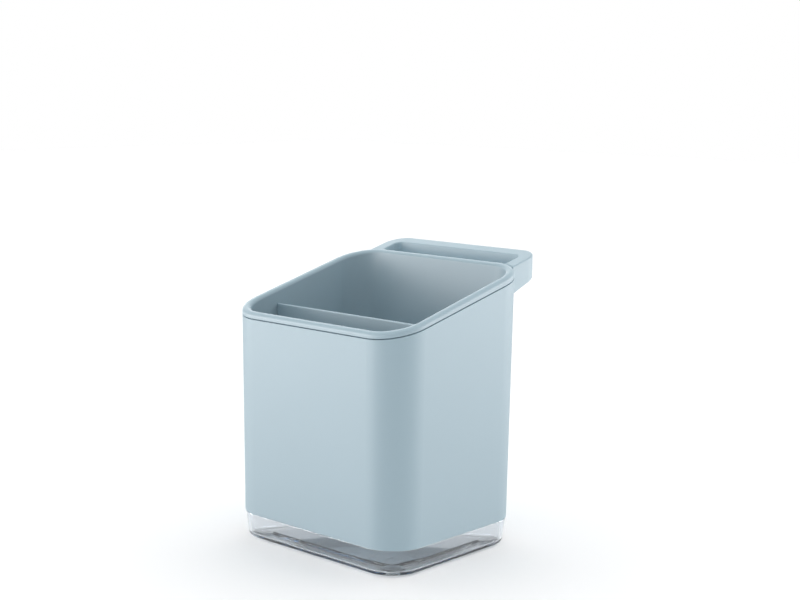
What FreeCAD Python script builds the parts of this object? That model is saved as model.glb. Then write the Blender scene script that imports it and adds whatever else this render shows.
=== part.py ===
import FreeCAD, Part
import math
import os
import Sketcher

# A free-standing sink caddy, in millimetres. The front faces -Y, the cloth rail is at +Y and
# +Z is up. Every piece is modelled about the middle of the shell's footprint, and in the end
# moved forward, so that the origin is the middle of the caddy and its rail seen from above, on
# the surface that the caddy stands on.
#
# From the outside in, the caddy is a drafted shell whose top edge slopes up to the rear and
# carries the cloth rail, a liner bucket that hangs in the shell by its rim, a divider panel
# standing in the liner, a clear tray under the shell and four soft feet under the tray.

DIMENSIONS = {
    # outline of the shell, which the tray and the liner's rim share
    "body_width": 137.0,         # across the shell, at its foot
    "body_depth": 114.2,         # front to back, at its foot
    "corner_radius": 21.8,       # upright corners, at its foot
    "wall_draft": 0.68,          # degrees that the walls lean out
    "shell_forward": 12.4,       # the shell's middle lies this far in front of the origin
    "tall": 190.0,               # taller than any wall before the sloping cuts
    "reach": 120.0,              # further from the middle than any face

    # outer shell
    "shell_foot": 16.4,          # height of the shell's lower edge
    "shell_wall": 2.3,
    "seam_height": 150.9,        # shell's top edge above the origin
    "seam_slope": 13.7,          # degrees, rising to the rear
    "shell_edge_round": 0.25,

    # cloth rail
    "rail_half_span": 59.6,      # outer face of each arm from the middle
    "rail_thickness": 8.8,
    "rail_back": 83.4,           # rear face of the bar
    "rail_corner": 13.0,
    "rail_root": 44.0,           # the arms start inside the shell's corners
    "channel_root": 65.0,        # the channel starts behind them
    "rail_top": 154.3,           # top face above the origin
    "rail_slope": 14.4,
    "rail_under": 130.4,         # underside's plane above the origin
    "rail_under_slope": 21.2,
    "rail_skin": 2.2,            # walls of the channel moulded under the rail
    "rail_roof": 2.4,            # and the thickness over it
    "rail_edge_round": 0.9,
    "rail_root_round": 4.0,      # under the arm, where it meets the shell

    # liner
    "rim_height": 155.4,         # crest of the rim above the origin
    "rim_slope": 14.4,
    "rim_width": 5.3,
    "rim_round": 2.3,            # outer edge
    "lip_round": 2.2,            # inner edge
    "rim_clearance": 0.35,       # beside the rail's arms
    "seam_gap": 0.7,             # shadow line between rim and shell
    "seam_depth": 1.6,
    "liner_inset": 3.1,          # bucket's outline inside the shell's foot outline
    "cavity_inset": 5.5,
    "liner_draft": 0.8,
    "liner_bottom": 23.0,
    "liner_floor": 2.4,
    "liner_corner": 4.0,         # bottom edge, outside
    "floor_corner": 2.5,         # bottom edge, inside

    # drain slots in the liner's floor
    "slot_depth": 5.0,           # more than the floor's thickness
    "slot_width": 3.0,
    "slot_round": 1.4,
    "slot_pitch": 12.0,
    "slot_count": 8,
    "front_slot_length": 17.0,
    "front_slot_middle": -37.0,
    "rear_slot_length": 48.0,
    "rear_slot_middle": 14.0,

    # divider and the socket that locates it
    "divider_face": -21.8,       # the panel's front face
    "divider_thickness": 2.2,
    "divider_top": 140.9,
    "divider_side_gap": 0.25,
    "divider_edge_round": 0.7,
    "divider_corner": 3.5,       # cut off to clear the round at the liner's floor
    "drain_gap": 4.0,            # height of the drain notches under the panel
    "drain_gap_inner": 16.0,     # from the middle
    "drain_gap_outer": 40.0,
    "socket_gap": 0.2,
    "socket_height": 9.0,
    "socket_wall": 1.6,
    "socket_middle": 12.0,       # ribs reach from the middle this far
    "socket_inner": 45.0,        # and from here
    "socket_outer": 61.0,        # to here on each side

    # drip tray
    "tray_bottom": 0.8,
    "tray_inset": 0.15,          # step back from the shell at the shoulder
    "tray_draft": 7.7,
    "tray_shoulder_round": 0.5,
    "tray_corner": 19.8,         # upright corners, at the tray's bottom
    "tray_bottom_round": 2.5,
    "tray_floor": 1.6,
    "tray_floor_round": 1.5,
    "step_across": 100.0,        # raised middle of the floor
    "step_along": 77.0,
    "step_corner": 3.0,
    "step_height": 1.8,
    "step_round": 0.9,
    "collar_height": 5.0,
    "collar_gap": 0.3,
    "collar_wall": 1.9,

    # feet
    "foot_across": 53.0,         # from the middle, left and right
    "foot_along": 41.5,          # from the middle, front and back
    "foot_radius": 5.0,
    "foot_thickness": 2.2,
    "foot_round": 0.5,
    "foot_boss_radius": 6.8,
    "foot_boss_height": 1.4,
    "foot_gap": 0.05,
}

FOOT_PLACES = {
    "foot_front_left": ("-dims.foot_across", "-dims.foot_along"),
    "foot_front_right": ("dims.foot_across", "-dims.foot_along"),
    "foot_rear_left": ("-dims.foot_across", "dims.foot_along"),
    "foot_rear_right": ("dims.foot_across", "dims.foot_along"),
}

ON_EDGE = 0.05      # how near an edge lies to the plane where it is looked for
ON_OUTLINE = 0.5    # and how near to an outline


def write_dimensions(doc):
    sheet = doc.addObject("Spreadsheet::Sheet", "dims")
    for row, (name, size) in enumerate(DIMENSIONS.items(), start=1):
        sheet.set(f"A{row}", name)
        sheet.set(f"B{row}", str(size))
        sheet.setAlias(f"B{row}", name)
    doc.recompute()
    return sheet


def new_body(doc, label):
    body = doc.addObject("PartDesign::Body", label)
    body.Label = label
    return body


def new_sketch(body, name, plane, offset=None, move_x=None, move_y=None):
    """A sketch on one of the body's own origin planes, moved along its normal by offset."""
    sketch = body.newObject("Sketcher::SketchObject", name)
    support = next(f for f in body.Origin.OriginFeatures if f.Role == plane)
    sketch.AttachmentSupport = [(support, "")]
    sketch.MapMode = "FlatFace"
    for axis, move in (("x", move_x), ("y", move_y), ("z", offset)):
        if move:
            sketch.setExpression(f"AttachmentOffset.Base.{axis}", move)
    return sketch


def constrain(sketch, kind, name, expression, *geometry):
    """A dimension of the sketch, named and bound to the sheet."""
    size = float(sketch.evalExpression(expression))
    sketch.addConstraint(Sketcher.Constraint(kind, *geometry, size))
    sketch.renameConstraint(len(sketch.Constraints) - 1, name)
    sketch.setExpression(f"Constraints.{name}", expression)


def rounded_rectangle(sketch, width, depth, radius, prefix=""):
    """A rectangle with round corners about the sketch's origin: four sides, then four corners."""
    first = sketch.GeometryCount
    half_x = float(sketch.evalExpression(width)) / 2
    half_y = float(sketch.evalExpression(depth)) / 2
    r = float(sketch.evalExpression(radius))
    point = FreeCAD.Vector
    sketch.addGeometry([
        Part.LineSegment(point(-half_x + r, -half_y, 0), point(half_x - r, -half_y, 0)),
        Part.LineSegment(point(half_x, -half_y + r, 0), point(half_x, half_y - r, 0)),
        Part.LineSegment(point(half_x - r, half_y, 0), point(-half_x + r, half_y, 0)),
        Part.LineSegment(point(-half_x, half_y - r, 0), point(-half_x, -half_y + r, 0)),
    ], False)
    quarter = math.pi / 2
    for corner, (side_x, side_y) in enumerate(((1, -1), (1, 1), (-1, 1), (-1, -1))):
        centre = point(side_x * (half_x - r), side_y * (half_y - r), 0)
        circle = Part.Circle(centre, point(0, 0, 1), r)
        start = (corner - 1) * quarter
        sketch.addGeometry(Part.ArcOfCircle(circle, start, start + quarter), False)
    sides = [first + i for i in range(4)]
    corners = [first + 4 + i for i in range(4)]
    for i in range(4):
        sketch.addConstraint(Sketcher.Constraint("Tangent", sides[i], 2, corners[i], 1))
        sketch.addConstraint(Sketcher.Constraint("Tangent", corners[i], 2, sides[(i + 1) % 4], 1))
    for side, kind in zip(sides, ("Horizontal", "Vertical", "Horizontal", "Vertical")):
        sketch.addConstraint(Sketcher.Constraint(kind, side))
    for corner in corners[1:]:
        sketch.addConstraint(Sketcher.Constraint("Equal", corners[0], corner))
    sketch.addConstraint(Sketcher.Constraint("Symmetric", corners[0], 3, corners[2], 3, -1, 1))
    constrain(sketch, "Radius", f"{prefix}radius", radius, corners[0])
    constrain(sketch, "DistanceX", f"{prefix}width", width, sides[3], 1, sides[1], 1)
    constrain(sketch, "DistanceY", f"{prefix}depth", depth, sides[0], 1, sides[2], 1)


def circle(sketch, radius, x=None, y=None):
    """A circle at the sketch's origin, or at the place that two expressions give."""
    place = [float(sketch.evalExpression(e)) if e else 0.0 for e in (x, y)]
    size = float(sketch.evalExpression(radius))
    index = sketch.addGeometry(
        Part.Circle(FreeCAD.Vector(*place, 0), FreeCAD.Vector(0, 0, 1), size), False)
    if x:
        constrain(sketch, "DistanceX", f"x{index}", x, -1, 1, index, 3)
        constrain(sketch, "DistanceY", f"y{index}", y, -1, 1, index, 3)
    else:
        sketch.addConstraint(Sketcher.Constraint("Coincident", index, 3, -1, 1))
    constrain(sketch, "Radius", f"radius{index}", radius, index)


def polygon(sketch, corners):
    """A closed outline of straight sides; each corner is a pair of expressions."""
    places = [FreeCAD.Vector(float(sketch.evalExpression(x)), float(sketch.evalExpression(y)), 0)
              for x, y in corners]
    first = sketch.GeometryCount
    count = len(corners)
    for i in range(count):
        sketch.addGeometry(Part.LineSegment(places[i], places[(i + 1) % count]), False)
    for i in range(count):
        sketch.addConstraint(
            Sketcher.Constraint("Coincident", first + i, 2, first + (i + 1) % count, 1))
    for i, (x, y) in enumerate(corners):
        constrain(sketch, "DistanceX", f"x{first + i}", x, -1, 1, first + i, 1)
        constrain(sketch, "DistanceY", f"y{first + i}", y, -1, 1, first + i, 1)
    return first


def extrude(body, kind, name, sketch, length=None, draft=None, reverse=False, both_ways=False):
    """A Pad or a Pocket; a pocket with no length goes through everything."""
    feature = body.newObject(f"PartDesign::{kind}", name)
    feature.Profile = sketch
    feature.Reversed = reverse
    if both_ways:
        feature.SideType = "Symmetric"
    if length:
        feature.setExpression("Length", length)
    else:
        feature.Type = "ThroughAll"
    if draft:
        feature.setExpression("TaperAngle", draft)
    return feature


def block(body, name, inset="0", base="dims.shell_foot", length="dims.tall",
          draft="dims.wall_draft", kind="Pad"):
    """The shell's outline, stepped in by inset and extruded up from base with its draft."""
    sketch = new_sketch(body, f"{name}_outline", "XY_Plane", base)
    rounded_rectangle(sketch,
                      f"dims.body_width - 2 * ({inset})",
                      f"dims.body_depth - 2 * ({inset})",
                      f"dims.corner_radius - ({inset})")
    reverse = kind == "Pocket"
    return extrude(body, kind, name, sketch, length, draft, reverse)


def slope_cut(body, name, height, slope, keep):
    """Cut away all that is above or below a plane that rises to the rear."""
    sketch = new_sketch(body, f"{name}_profile", "YZ_Plane")
    far = "2 * dims.tall" if keep == "below" else "-dims.tall"
    low = f"{height} - dims.reach * tan({slope})"
    high = f"{height} + dims.reach * tan({slope})"
    polygon(sketch, [("-dims.reach", low), ("dims.reach", high),
                     ("dims.reach", far), ("-dims.reach", far)])
    return extrude(body, "Pocket", name, sketch, "3 * dims.reach", both_ways=True)


def round_edges(body, base, name, radius, wanted):
    """Round the edges of the base feature for which wanted(edge) is true."""
    body.Document.recompute()
    names = [f"Edge{i}" for i, edge in enumerate(base.Shape.Edges, start=1) if wanted(edge)]
    if not names:
        raise RuntimeError(f"{name}: no edge found to round")
    feature = body.newObject("PartDesign::Fillet", name)
    feature.Base = (base, names)
    feature.setExpression("Radius", radius)
    return feature


def places_on(edge):
    """Both ends and the middle of an edge."""
    first, last = edge.FirstParameter, edge.LastParameter
    return [edge.valueAt(at) for at in (first, (first + last) / 2, last)]


def on_slope(edge, height, slope):
    """True when the edge lies in the plane that rises to the rear."""
    rise = math.tan(math.radians(slope))
    return all(abs(p.z - height - rise * p.y) < ON_EDGE for p in places_on(edge))


def at_height(edge, height):
    return all(abs(p.z - height) < ON_EDGE for p in places_on(edge))


def on_outline(edge, inset, size):
    """True when the edge runs along the shell's drafted outline, stepped in by inset."""
    middle = places_on(edge)[1]
    lean = (middle.z - size["shell_foot"]) * math.tan(math.radians(size["wall_draft"]))
    radius = size["corner_radius"] + lean - inset
    straight_x = size["body_width"] / 2 - size["corner_radius"]
    straight_y = size["body_depth"] / 2 - size["corner_radius"]
    across = max(abs(middle.x) - straight_x, 0)
    along = max(abs(middle.y) - straight_y, 0)
    return abs(math.hypot(across, along) - radius) < ON_OUTLINE


def outer_shell(doc, size):
    """Drafted tube with the cloth rail moulded on, its top cut along the sloping seam."""
    shell = new_body(doc, "shell_and_rail")

    # the rail: a band that runs round behind the shell, upper and lower faces sloping
    sketch = new_sketch(shell, "rail_outline", "XY_Plane", "dims.seam_height / 2")
    rounded_rectangle(sketch, "2 * dims.rail_half_span", "2 * dims.rail_back", "dims.rail_corner")
    extrude(shell, "Pad", "rail_band", sketch, "dims.tall")
    sketch = new_sketch(shell, "rail_inside", "XY_Plane", "dims.seam_height / 2")
    rounded_rectangle(sketch,
                      "2 * (dims.rail_half_span - dims.rail_thickness)",
                      "2 * (dims.rail_back - dims.rail_thickness)",
                      "dims.rail_corner - dims.rail_thickness")
    extrude(shell, "Pocket", "rail_opening", sketch, reverse=True)
    sketch = new_sketch(shell, "rail_front", "XY_Plane")
    polygon(sketch, [("-dims.reach", "-dims.reach"), ("dims.reach", "-dims.reach"),
                     ("dims.reach", "dims.rail_root"), ("-dims.reach", "dims.rail_root")])
    extrude(shell, "Pocket", "rail_arms_only", sketch, reverse=True)
    slope_cut(shell, "rail_top_cut", "dims.rail_top", "dims.rail_slope", "below")
    slope_cut(shell, "rail_under_cut", "dims.rail_under", "dims.rail_under_slope", "above")

    # the shell, solid at first, so that each arm blends into its corner all round
    solid = block(shell, "shell_block")
    arm_inside = size["rail_half_span"] - size["rail_thickness"] - ON_OUTLINE
    arm_outside = size["rail_half_span"] + ON_OUTLINE
    round_edges(shell, solid, "rail_root_rounding", "dims.rail_root_round",
                lambda e: all(arm_inside < abs(p.x) < arm_outside for p in places_on(e))
                and size["rail_root"] < places_on(e)[1].y < size["channel_root"]
                and on_outline(e, 0, size)
                and not on_slope(e, size["rail_top"], size["rail_slope"]))
    block(shell, "shell_inside", inset="dims.shell_wall", kind="Pocket")

    # the channel under the rail, as moulded
    channel = new_body(doc, "rail_channel")
    sketch = new_sketch(channel, "channel_outline", "XY_Plane", "dims.seam_height / 2")
    rounded_rectangle(sketch,
                      "2 * (dims.rail_half_span - dims.rail_skin)",
                      "2 * (dims.rail_back - dims.rail_skin)",
                      "dims.rail_corner - dims.rail_skin")
    rounded_rectangle(sketch,
                      "2 * (dims.rail_half_span - dims.rail_thickness + dims.rail_skin)",
                      "2 * (dims.rail_back - dims.rail_thickness + dims.rail_skin)",
                      "dims.rail_corner - dims.rail_thickness + dims.rail_skin", "inner_")
    extrude(channel, "Pad", "channel_band", sketch, "dims.tall")
    sketch = new_sketch(channel, "channel_front", "XY_Plane")
    polygon(sketch, [("-dims.reach", "-dims.reach"), ("dims.reach", "-dims.reach"),
                     ("dims.reach", "dims.channel_root"), ("-dims.reach", "dims.channel_root")])
    extrude(channel, "Pocket", "channel_arms_only", sketch, reverse=True)
    slope_cut(channel, "channel_top_cut", "dims.rail_top - dims.rail_roof",
              "dims.rail_slope", "below")

    # the room that the liner's rim takes, down to the seam
    rim_room = new_body(doc, "rim_room")
    block(rim_room, "rim_room_block", inset="-dims.rim_clearance")
    slope_cut(rim_room, "rim_room_cut", "dims.seam_height", "dims.seam_slope", "above")

    hollowed = doc.addObject("Part::Cut", "hollow_rail")
    hollowed.Base, hollowed.Tool = shell, channel
    seamed = doc.addObject("Part::Cut", "seamed_shell")
    seamed.Base, seamed.Tool = hollowed, rim_room
    doc.recompute()

    rounded = doc.addObject("Part::Fillet", "outer_shell")
    rounded.Base = seamed
    edges = []
    for i, edge in enumerate(seamed.Shape.Edges, start=1):
        if on_slope(edge, size["rail_top"], size["rail_slope"]):
            edges.append((i, size["rail_edge_round"], size["rail_edge_round"]))
        elif at_height(edge, size["shell_foot"]) and on_outline(edge, 0, size):
            edges.append((i, size["shell_edge_round"], size["shell_edge_round"]))
        elif (on_slope(edge, size["seam_height"], size["seam_slope"])
                and on_outline(edge, 0, size) and places_on(edge)[1].y < size["rail_root"]):
            edges.append((i, size["shell_edge_round"], size["shell_edge_round"]))
    rounded.Edges = edges
    return rounded


def inner_liner(doc, size):
    """Bucket that hangs in the shell by its rim, with a drained floor and a divider socket."""
    liner = new_body(doc, "inner_liner")
    floor = size["liner_bottom"] + size["liner_floor"]

    # the rim, flush with the shell, and the step below it that rests on the shell's edge
    block(liner, "rim_block")
    slope_cut(liner, "rim_under_cut", "dims.seam_height + dims.seam_gap",
              "dims.seam_slope", "above")
    block(liner, "step_block", inset="dims.seam_depth")
    slope_cut(liner, "step_cut", "dims.seam_height", "dims.seam_slope", "above")
    bucket = block(liner, "bucket_block", inset="dims.liner_inset", base="dims.liner_bottom",
                   draft="dims.liner_draft")
    round_edges(liner, bucket, "bucket_rounding", "dims.liner_corner",
                lambda e: at_height(e, size["liner_bottom"]))
    crest = slope_cut(liner, "crest_cut", "dims.rim_height", "dims.rim_slope", "below")
    round_edges(liner, crest, "rim_rounding", "dims.rim_round",
                lambda e: on_slope(e, size["rim_height"], size["rim_slope"]))

    # the inside of the bucket
    inside = block(liner, "bucket_inside", inset="dims.cavity_inset",
                   base="dims.liner_bottom + dims.liner_floor", draft="dims.liner_draft",
                   kind="Pocket")
    lip = round_edges(liner, inside, "lip_rounding", "dims.lip_round",
                      lambda e: on_slope(e, size["rim_height"], size["rim_slope"])
                      and on_outline(e, size["rim_width"], size))
    round_edges(liner, lip, "floor_rounding", "dims.floor_corner",
                lambda e: at_height(e, floor))

    # drain slots, in rows from side to side
    for name in ("front", "rear"):
        sketch = new_sketch(liner, f"{name}_slot", "XY_Plane", "dims.liner_bottom",
                            "-(dims.slot_count - 1) / 2 * dims.slot_pitch",
                            f"dims.{name}_slot_middle")
        rounded_rectangle(sketch, "dims.slot_width", f"dims.{name}_slot_length",
                          "dims.slot_round")
        slot = extrude(liner, "Pocket", f"{name}_slot_cut", sketch, "dims.slot_depth",
                       reverse=True)
        liner.Document.recompute()
        row = liner.newObject("PartDesign::LinearPattern", f"{name}_slots")
        row.Originals = [slot]
        row.Direction = (sketch, ["H_Axis"])
        row.Mode = "Spacing"
        row.setExpression("Offset", "dims.slot_pitch")
        row.setExpression("Occurrences", "dims.slot_count")
        liner.Tip = row
        liner.Document.recompute()

    # the divider's socket: short ribs before and behind the panel's foot
    sketch = new_sketch(liner, "socket_ribs", "XY_Plane", "dims.liner_bottom + dims.liner_floor")
    front = "dims.divider_face - dims.socket_gap"
    rear = "dims.divider_face + dims.divider_thickness + dims.socket_gap"
    for near, far in ((front, f"{front} - dims.socket_wall"), (rear, f"{rear} + dims.socket_wall")):
        for left, right in (("-dims.socket_outer", "-dims.socket_inner"),
                            ("-dims.socket_middle", "dims.socket_middle"),
                            ("dims.socket_inner", "dims.socket_outer")):
            polygon(sketch, [(left, near), (right, near), (right, far), (left, far)])
    extrude(liner, "Pad", "socket", sketch, "dims.socket_height")
    return liner


def divider(doc, size):
    """Panel across the liner, its sides following the drafted walls, with drain notches."""
    panel = new_body(doc, "divider")
    sketch = new_sketch(panel, "panel_face", "XZ_Plane", "-dims.divider_face")
    floor = "dims.liner_bottom + dims.liner_floor"
    half = "dims.body_width / 2 - dims.cavity_inset - dims.divider_side_gap"
    side = [(f"{half} + (dims.divider_top - ({floor})) * tan(dims.liner_draft)", "dims.divider_top"),
            (half, f"{floor} + dims.divider_corner"),
            (f"{half} - dims.divider_corner", floor),
            ("dims.drain_gap_outer", floor),
            ("dims.drain_gap_outer", f"{floor} + dims.drain_gap"),
            ("dims.drain_gap_inner", f"{floor} + dims.drain_gap"),
            ("dims.drain_gap_inner", floor)]
    mirrored = [(f"-({x})", z) for x, z in reversed(side)]
    polygon(sketch, side + mirrored)
    plate = extrude(panel, "Pad", "plate", sketch, "dims.divider_thickness", reverse=True)
    round_edges(panel, plate, "top_rounding", "dims.divider_edge_round",
                lambda e: at_height(e, size["divider_top"]) and abs(places_on(e)[1].x) < ON_OUTLINE)
    return panel


def drip_tray(doc, size):
    """Clear tray: the shell stands on its shoulder, round a collar, and it stands on four feet."""
    tray = new_body(doc, "drip_tray")
    shoulder = "dims.tray_inset + (dims.shell_foot - dims.tray_bottom) * tan(dims.tray_draft)"
    sketch = new_sketch(tray, "tray_outline", "XY_Plane", "dims.tray_bottom")
    rounded_rectangle(sketch, f"dims.body_width - 2 * ({shoulder})",
                      f"dims.body_depth - 2 * ({shoulder})", "dims.tray_corner")
    dish = extrude(tray, "Pad", "dish", sketch, "dims.shell_foot - dims.tray_bottom",
                   "dims.tray_draft")
    dish = round_edges(tray, dish, "dish_rounding", "dims.tray_bottom_round",
                       lambda e: at_height(e, size["tray_bottom"]))
    round_edges(tray, dish, "shoulder_rounding", "dims.tray_shoulder_round",
                lambda e: at_height(e, size["shell_foot"]))
    collar = "dims.shell_wall + dims.collar_gap"
    block(tray, "collar", inset=collar, length="dims.collar_height", draft="0")
    inside = block(tray, "tray_inside", inset=f"{collar} + dims.collar_wall",
                   base="dims.tray_bottom + dims.tray_floor", draft="0", kind="Pocket")
    round_edges(tray, inside, "tray_floor_rounding", "dims.tray_floor_round",
                lambda e: at_height(e, size["tray_bottom"] + size["tray_floor"]))

    # the raised middle of the floor, and a boss over each foot
    sketch = new_sketch(tray, "step_outline", "XY_Plane", "dims.tray_bottom + dims.tray_floor")
    rounded_rectangle(sketch, "dims.step_across", "dims.step_along", "dims.step_corner")
    step = extrude(tray, "Pad", "step", sketch, "dims.step_height")
    step_top = size["tray_bottom"] + size["tray_floor"] + size["step_height"]
    round_edges(tray, step, "step_rounding", "dims.step_round", lambda e: at_height(e, step_top))
    sketch = new_sketch(tray, "boss_circles", "XY_Plane", "dims.tray_bottom + dims.tray_floor")
    for x, y in FOOT_PLACES.values():
        circle(sketch, "dims.foot_boss_radius", x, y)
    extrude(tray, "Pad", "bosses", sketch, "dims.foot_boss_height")
    sketch = new_sketch(tray, "foot_circles", "XY_Plane")
    for x, y in FOOT_PLACES.values():
        circle(sketch, "dims.foot_radius + dims.foot_gap", x, y)
    extrude(tray, "Pocket", "foot_recesses", sketch, "dims.foot_thickness", reverse=True)
    return tray


def foot(doc, label, x):
    """Soft round foot, let into the tray and standing a little below it."""
    pad = new_body(doc, label)
    sketch = new_sketch(pad, f"{label}_circle", "XY_Plane")
    circle(sketch, "dims.foot_radius")
    disc = extrude(pad, "Pad", f"{label}_disc", sketch, "dims.foot_thickness")
    round_edges(pad, disc, f"{label}_rounding", "dims.foot_round", lambda e: at_height(e, 0))
    pad.setExpression("Placement.Base.x", x)
    return pad


def check(objects):
    """Stop when anything failed to build, before a file is written."""
    failed = [o.Label for o in objects if {"Invalid", "Error"} & set(o.State)]
    if failed:
        raise RuntimeError(f"failed: {failed}")


def main():
    doc = FreeCAD.newDocument("sink_caddy")
    write_dimensions(doc)
    pieces = [outer_shell(doc, DIMENSIONS), inner_liner(doc, DIMENSIONS),
              divider(doc, DIMENSIONS), drip_tray(doc, DIMENSIONS)]
    pieces += [foot(doc, label, x) for label, (x, _) in FOOT_PLACES.items()]
    for piece in pieces:
        along = FOOT_PLACES.get(piece.Label, ("0", "0"))[1]
        piece.setExpression("Placement.Base.y", f"{along} - dims.shell_forward")
    doc.recompute()
    check(doc.Objects)
    os.makedirs("parts", exist_ok=True)
    for piece in pieces:
        shape = piece.Shape
        if shape.isNull() or not shape.isValid():
            raise RuntimeError(f"{piece.Label}: no valid shape")
        box = shape.BoundBox
        print(f"{piece.Label}: {shape.Volume:.0f} mm3, {len(shape.Solids)} solid,"
              f" X {box.XMin:.1f} {box.XMax:.1f}, Y {box.YMin:.1f} {box.YMax:.1f},"
              f" Z {box.ZMin:.1f} {box.ZMax:.1f}")
        shape.exportStep(f"parts/{piece.Label}.step")


main()
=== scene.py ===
"""Sink caddy with a cloth rail: materials, studio and camera round the CAD frame.

Metres. The front faces -Y, the cloth rail is at +Y, +Z is up.
"""
import bpy
import math
from mathutils import Matrix, Vector


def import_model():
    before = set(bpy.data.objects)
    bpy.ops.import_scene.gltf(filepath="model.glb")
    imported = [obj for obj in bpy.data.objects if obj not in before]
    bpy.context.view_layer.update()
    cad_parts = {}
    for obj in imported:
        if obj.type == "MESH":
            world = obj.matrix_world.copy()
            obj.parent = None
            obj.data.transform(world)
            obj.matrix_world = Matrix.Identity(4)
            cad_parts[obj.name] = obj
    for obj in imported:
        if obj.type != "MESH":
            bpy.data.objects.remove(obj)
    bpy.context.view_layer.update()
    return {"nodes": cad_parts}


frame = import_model()
NODES = frame["nodes"]

# --- colours, linear ---
BLUE = (0.357, 0.477, 0.542)
CLEAR = (0.905, 0.898, 0.897)
CLEAR_DEPTH = (0.70, 0.79, 0.86)   # what light takes on over a long way through clear plastic
FOOT_GREY = (0.62, 0.66, 0.70)
FLOOR_WHITE = (0.93, 0.932, 0.935)

# --- sizes of the surface textures: noise scales per metre, depths in metres ---
GRAIN = 0.00035               # spark-eroded texture of the moulds
GRAIN_DEPTH = 0.000012
CLOUD_SCALE = 18.0            # clouding where the plastic flowed
CLOUD_DEPTH = 0.00025
FLOW_SCALE = 60.0             # unevenness of the clear moulding
FLOW_DEPTH = 0.0002
POLISH_SCALE = 900.0
RUBBER_SCALE = 1800.0
RUBBER_DEPTH = 0.00003

# --- refractive indices ---
IOR_SATIN, IOR_CLEAR, IOR_RUBBER = 1.49, 1.57, 1.43

# --- studio: azimuths from the front, elevations, metres ---
FRONT_LEFT, REAR_RIGHT, REAR_LEFT = -42, 138, 222
LOW = 3
BOX_WIDTH, BOX_HEIGHT = 1.5, 0.45


# --- materials ---
def new_material(name):
    material = bpy.data.materials.new(name)
    material.use_nodes = True
    tree = material.node_tree
    shader = tree.nodes["Principled BSDF"]
    return material, tree, shader


def node(tree, kind, **settings):
    made = tree.nodes.new(kind)
    for name, value in settings.items():
        if name in made.inputs:
            made.inputs[name].default_value = value
        else:
            setattr(made, name, value)
    return made


def noise(tree, place, scale, detail=2.0, roughness=0.5):
    made = node(tree, "ShaderNodeTexNoise", Scale=scale, Detail=detail, Roughness=roughness)
    tree.links.new(place.outputs["Object"], made.inputs["Vector"])
    return made


def remap(tree, source, low, high):
    """The 0-1 output of a texture, spread between low and high."""
    made = node(tree, "ShaderNodeMapRange")
    made.inputs["To Min"].default_value = low
    made.inputs["To Max"].default_value = high
    tree.links.new(source, made.inputs["Value"])
    return made.outputs["Result"]


def shaded_colour(tree, source, dark, light):
    """A colour that wanders between two close tones."""
    mix = node(tree, "ShaderNodeMix", data_type="RGBA")
    first, second, result = mix.inputs[6], mix.inputs[7], mix.outputs[2]   # names are shared
    first.default_value = (*dark, 1)
    second.default_value = (*light, 1)
    tree.links.new(source, mix.inputs["Factor"])
    return result


def bump(tree, source, distance, strength=1.0, base=None):
    made = node(tree, "ShaderNodeBump", Distance=distance, Strength=strength)
    tree.links.new(source, made.inputs["Height"])
    if base:
        tree.links.new(base.outputs["Normal"], made.inputs["Normal"])
    return made


def scaled(colour, factor):
    return tuple(min(1.0, c * factor) for c in colour)


def satin_plastic(name, colour):
    """Moulded plastic with a fine spark-eroded texture and slight mould-flow clouding."""
    material, tree, shader = new_material(name)
    place = node(tree, "ShaderNodeTexCoord")
    fine = noise(tree, place, 1 / GRAIN, detail=3.0, roughness=0.6)
    cloud = noise(tree, place, CLOUD_SCALE)
    tree.links.new(shaded_colour(tree, cloud.outputs["Fac"], scaled(colour, 0.985),
                                 scaled(colour, 1.015)), shader.inputs["Base Color"])
    tree.links.new(remap(tree, fine.outputs["Fac"], 0.50, 0.58), shader.inputs["Roughness"])
    texture = bump(tree, fine.outputs["Fac"], GRAIN_DEPTH)
    waves = bump(tree, cloud.outputs["Fac"], CLOUD_DEPTH, strength=0.25, base=texture)
    tree.links.new(waves.outputs["Normal"], shader.inputs["Normal"])
    shader.inputs["IOR"].default_value = IOR_SATIN
    shader.inputs["Subsurface Weight"].default_value = 0.08
    shader.inputs["Subsurface Radius"].default_value = (0.9, 1.0, 1.1)
    shader.inputs["Subsurface Scale"].default_value = 0.002
    return material


def clear_plastic(name, colour, depth_colour, density=100.0):
    """Polished clear plastic, faintly uneven as moulded, darker where light runs along it."""
    material, tree, shader = new_material(name)
    place = node(tree, "ShaderNodeTexCoord")
    flow = noise(tree, place, FLOW_SCALE, detail=1.0)
    fine = noise(tree, place, POLISH_SCALE)
    shader.inputs["Base Color"].default_value = (*colour, 1)
    shader.inputs["Transmission Weight"].default_value = 1.0
    shader.inputs["IOR"].default_value = IOR_CLEAR
    tree.links.new(remap(tree, fine.outputs["Fac"], 0.01, 0.035), shader.inputs["Roughness"])
    uneven = bump(tree, flow.outputs["Fac"], FLOW_DEPTH, strength=0.06)
    tree.links.new(uneven.outputs["Normal"], shader.inputs["Normal"])
    thick = node(tree, "ShaderNodeVolumeAbsorption", Color=(*depth_colour, 1), Density=density)
    tree.links.new(thick.outputs["Volume"], tree.nodes["Material Output"].inputs["Volume"])
    return material


def soft_rubber(name, colour):
    """Translucent matt rubber."""
    material, tree, shader = new_material(name)
    place = node(tree, "ShaderNodeTexCoord")
    fine = noise(tree, place, RUBBER_SCALE)
    tree.links.new(shaded_colour(tree, fine.outputs["Fac"], scaled(colour, 0.95), colour),
                   shader.inputs["Base Color"])
    shader.inputs["Transmission Weight"].default_value = 0.5
    shader.inputs["IOR"].default_value = IOR_RUBBER
    tree.links.new(remap(tree, fine.outputs["Fac"], 0.35, 0.5), shader.inputs["Roughness"])
    texture = bump(tree, fine.outputs["Fac"], RUBBER_DEPTH)
    tree.links.new(texture.outputs["Normal"], shader.inputs["Normal"])
    return material


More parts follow.
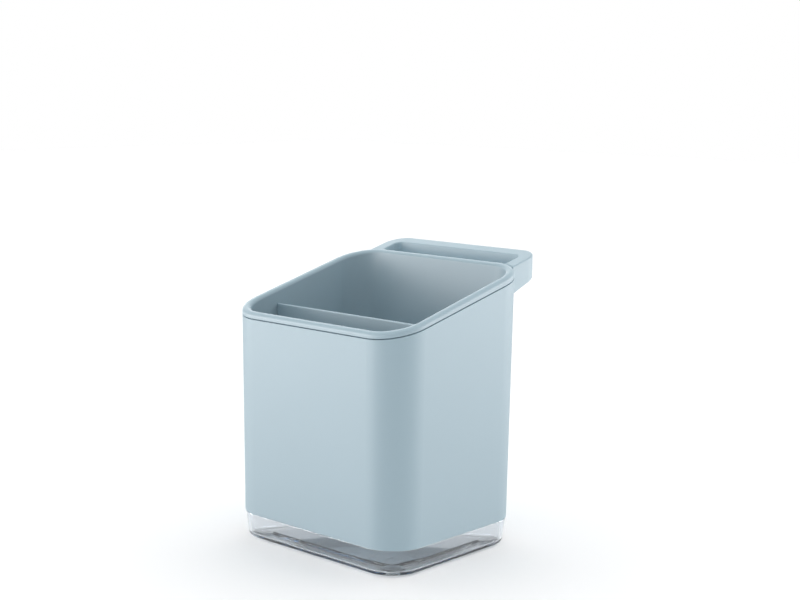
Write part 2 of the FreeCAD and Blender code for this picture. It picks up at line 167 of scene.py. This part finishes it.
def paint(names, material):
    for name in names:
        slots = NODES[name].data.materials
        slots.clear()
        slots.append(material)


FEET = [name for name in NODES if name.startswith("foot_")]
paint(["outer_shell"], satin_plastic("shell_satin_blue", BLUE))
paint(["inner_liner", "divider"], satin_plastic("liner_satin_blue", BLUE))
paint(["drip_tray"], clear_plastic("tray_clear", CLEAR, CLEAR_DEPTH))
paint(FEET, soft_rubber("foot_clear_rubber", FOOT_GREY))
NODES["drip_tray"].visible_shadow = False   # lamp light passes the clear tray


# --- studio ---
def floor():
    """Pale matt floor, wide enough to reach out of every view."""
    bpy.ops.mesh.primitive_plane_add(size=8.0, location=(0, 0, 0))
    plane = bpy.context.object
    plane.name = "studio_floor"
    material, tree, shader = new_material("studio_white")
    place = node(tree, "ShaderNodeTexCoord")
    cloud = noise(tree, place, 3.0)
    tree.links.new(shaded_colour(tree, cloud.outputs["Fac"], scaled(FLOOR_WHITE, 0.995),
                                 FLOOR_WHITE), shader.inputs["Base Color"])
    shader.inputs["Roughness"].default_value = 0.9
    shader.inputs["Specular IOR Level"].default_value = 0.1
    plane.data.materials.append(material)


def direction(azimuth, elevation):
    """Unit vector from the object; azimuth 0 is the front (-Y) and 90 is +X."""
    a, e = math.radians(azimuth), math.radians(elevation)
    return Vector((math.sin(a) * math.cos(e), -math.cos(a) * math.cos(e), math.sin(e)))


def lamp(name, kind, azimuth, elevation, distance, power, sheen=True, fill=True, through=True,
         aim=(0, 0, 0.09)):
    """A soft lamp aimed at the object: sheen is its share in reflections, through is the share
    seen through clear plastic and fill is the rest."""
    data = bpy.data.lights.new(name, kind)
    data.energy = power
    made = bpy.data.objects.new(name, data)
    back = direction(azimuth, elevation)
    made.location = Vector(aim) + back * distance
    made.rotation_euler = (-back).to_track_quat("-Z", "Y").to_euler()
    made.visible_camera = False
    made.visible_glossy = sheen
    made.visible_diffuse = fill
    made.visible_transmission = through
    bpy.context.scene.collection.objects.link(made)
    return data


def softbox(name, azimuth, elevation, distance, width, height, power, **rays):
    data = lamp(name, "AREA", azimuth, elevation, distance, power, **rays)
    data.shape = "RECTANGLE"
    data.size, data.size_y = width, height


def overhead(name, power, spread):
    """Even light from a wide ceiling."""
    lamp(name, "SUN", 42, 89, 2.0, power, sheen=False).angle = math.radians(spread)


def world(backdrop, bright, dim, dim_side):
    """White backdrop to the camera; as a light, dim around one direction and bright elsewhere."""
    made = bpy.data.worlds.new("studio")
    bpy.context.scene.world = made
    made.use_nodes = True
    tree = made.node_tree
    background = tree.nodes["Background"]
    place = node(tree, "ShaderNodeTexCoord")
    toward = node(tree, "ShaderNodeVectorMath", operation="DOT_PRODUCT")
    tree.links.new(place.outputs["Generated"], toward.inputs[0])
    toward.inputs[1].default_value = dim_side
    surround = remap(tree, toward.outputs["Value"], bright, dim)
    spread = surround.node
    spread.interpolation_type = "SMOOTHSTEP"
    spread.inputs["From Min"].default_value = 0.1
    spread.inputs["From Max"].default_value = 0.8
    path = node(tree, "ShaderNodeLightPath")
    mix = node(tree, "ShaderNodeMix", data_type="FLOAT")
    tree.links.new(path.outputs["Is Camera Ray"], mix.inputs["Factor"])
    tree.links.new(surround, mix.inputs["A"])
    mix.inputs["B"].default_value = backdrop
    tree.links.new(mix.outputs["Result"], background.inputs["Strength"])
    background.inputs["Color"].default_value = (1, 1, 1, 1)


def camera(aim, azimuth, elevation, roll, distance, lens):
    data = bpy.data.cameras.new("camera")
    data.lens = lens
    data.sensor_width = 36.0
    made = bpy.data.objects.new("camera", data)
    bpy.context.scene.collection.objects.link(made)
    back = direction(azimuth, elevation)
    turn = (-back).to_track_quat("-Z", "Y").to_matrix() @ Matrix.Rotation(math.radians(roll), 3, "Z")
    made.matrix_world = Matrix.Translation(Vector(aim) + back * distance) @ turn.to_4x4()
    bpy.context.scene.camera = made


bpy.context.scene.view_settings.view_transform = "Standard"
floor()
world(backdrop=1.0, bright=0.92, dim=0.42, dim_side=direction(42, 20))
overhead("ceiling", 1.3, 120)
softbox("front_softbox", FRONT_LEFT, LOW, 1.3, BOX_WIDTH, BOX_HEIGHT, 1.2)
softbox("side_softbox", REAR_RIGHT, LOW, 1.3, BOX_WIDTH, BOX_HEIGHT, 0.8)
softbox("front_reflection", FRONT_LEFT, LOW, 1.31, BOX_WIDTH, BOX_HEIGHT, 39, fill=False)
softbox("side_reflection", REAR_RIGHT, LOW, 1.31, BOX_WIDTH, BOX_HEIGHT, 27, fill=False)
softbox("rear_reflection", REAR_LEFT, 15, 1.6, 1.6, 0.5, 15, fill=False, through=False)
camera(aim=(0.0043, 0.0034, 0.1465), azimuth=42.14, elevation=8.45, roll=0.68,
       distance=0.9203, lens=68.1)
